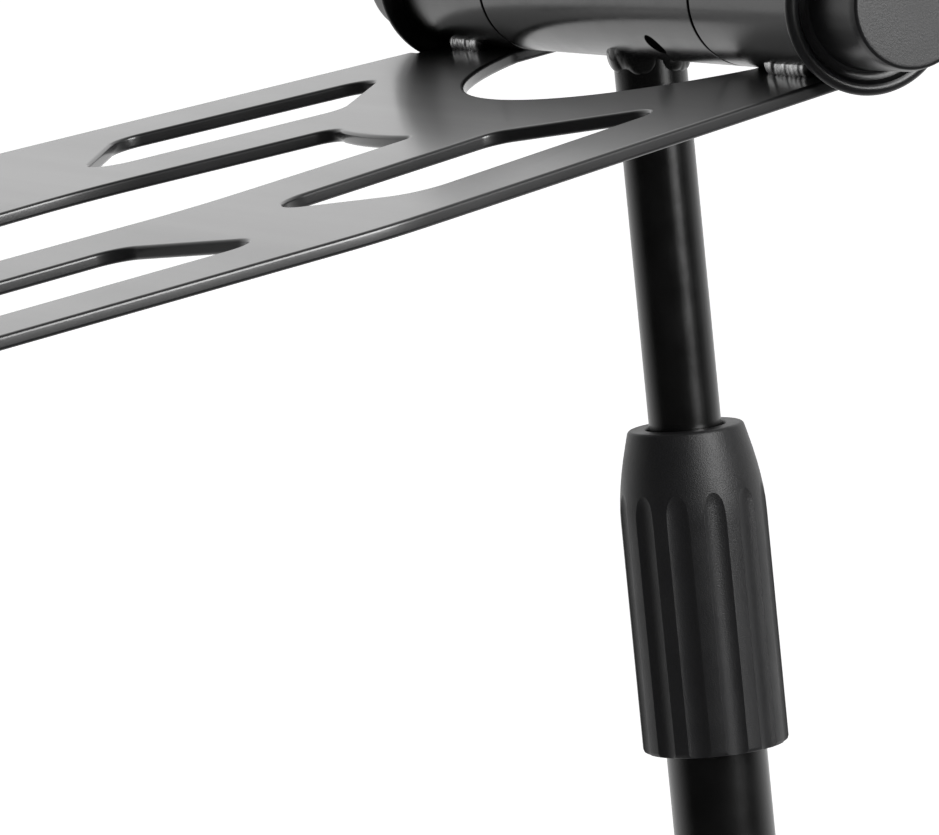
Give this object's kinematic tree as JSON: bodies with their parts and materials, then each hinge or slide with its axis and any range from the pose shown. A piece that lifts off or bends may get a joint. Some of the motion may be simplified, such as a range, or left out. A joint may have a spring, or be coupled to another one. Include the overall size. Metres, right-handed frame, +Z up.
{
  "type": "music stand",
  "caption": "Foldable music stand: an openwork steel desk on a friction hinge, a telescopic column with a twist clutch, and three folding legs.",
  "frame": {"origin": "on the floor, under the column axis", "axes": "+Z up along the column, +X along the desk hinge axis, the desk reaches out towards -Y"},
  "size_m": [0.583, 0.5077, 0.7592],
  "materials": {
    "black_coat": "semi-gloss black powder coat on steel",
    "plate_coat": "smooth semi-gloss black coat on sheet steel, seen at a grazing angle it mirrors its surroundings",
    "grip_plastic": "black moulded plastic with a fine grain",
    "knob_plastic": "black moulded plastic, finely textured face",
    "washer_plastic": "dark friction plastic",
    "nylon": "natural nylon",
    "weld_steel": "rippled weld bead with a thin coat",
    "raw_steel": "drawn steel",
    "zinc": "bright zinc plate",
    "rubber": "black rubber"
  },
  "bodies": {
    "base": {"base_hub": "black_coat", "leg_pins": "zinc", "tube_plug": "raw_steel", "base_washer": "zinc", "base_bolt": "zinc", "lower_tube": "black_coat", "clutch_collet": "nylon"},
    "clutch": {"clutch_grip": "grip_plastic"},
    "slider": {"guide_bush": "nylon"},
    "column": {"upper_tube": "black_coat", "column_end_cap": "grip_plastic", "retaining_ring": "zinc", "column_weld": "weld_steel", "hinge_centre_tube": "black_coat", "hinge_liner": "raw_steel", "rod_carrier": "raw_steel", "tie_rod": "zinc", "friction_washers": "washer_plastic"},
    "desk": {"sleeve_left": "black_coat", "sleeve_right": "black_coat", "end_plug_left": "washer_plastic", "end_plug_right": "washer_plastic", "desk_plate": "plate_coat", "ear_weld_left": "weld_steel", "ear_weld_right": "weld_steel"},
    "knob_left": {"knob_left": "knob_plastic", "knob_nut_left": "zinc"},
    "knob_right": {"knob_right": "knob_plastic", "knob_nut_right": "zinc"},
    "leg_a": {"leg_knuckle_a": "black_coat", "leg_tube_a": "black_coat", "foot_a": "rubber"},
    "leg_b": {"leg_knuckle_b": "black_coat", "leg_tube_b": "black_coat", "foot_b": "rubber"},
    "leg_c": {"leg_knuckle_c": "black_coat", "leg_tube_c": "black_coat", "foot_c": "rubber"}
  },
  "joints": [
    {"name": "leg_fold_a", "type": "hinge", "parent": "base", "child": "leg_a", "pos_m": [0, -0.034, 0.056], "axis": [-1, 0, 0], "range_deg": [0, 98]},
    {"name": "leg_fold_b", "type": "hinge", "parent": "base", "child": "leg_b", "pos_m": [0.02944, 0.017, 0.056], "axis": [0.5, -0.866, 0], "range_deg": [0, 98]},
    {"name": "leg_fold_c", "type": "hinge", "parent": "base", "child": "leg_c", "pos_m": [-0.02944, 0.017, 0.056], "axis": [0.5, 0.866, 0], "range_deg": [0, 98]},
    {"name": "clutch_turn", "type": "hinge", "parent": "base", "child": "clutch", "pos_m": [0, 0, 0.608], "axis": [0, 0, 1], "range_deg": [0, 150]},
    {"name": "height_slide", "type": "slide", "parent": "base", "child": "slider", "axis": [0, 0, 1], "range_m": [0, 0.45]},
    {"name": "column_swivel", "type": "hinge", "parent": "slider", "child": "column", "pos_m": [0, 0, 0.6], "axis": [0, 0, 1], "continuous": true},
    {"name": "desk_tilt", "type": "hinge", "parent": "column", "child": "desk", "pos_m": [0, 0, 0.74], "axis": [1, 0, 0], "range_deg": [-277, 47]},
    {"name": "knob_left_turn", "type": "hinge", "parent": "column", "child": "knob_left", "pos_m": [-0.11, 0, 0.74], "axis": [-1, 0, 0], "range_deg": [0, 180]},
    {"name": "knob_right_turn", "type": "hinge", "parent": "column", "child": "knob_right", "pos_m": [0.119, 0, 0.74], "axis": [1, 0, 0], "range_deg": [0, 180]}
  ]
}
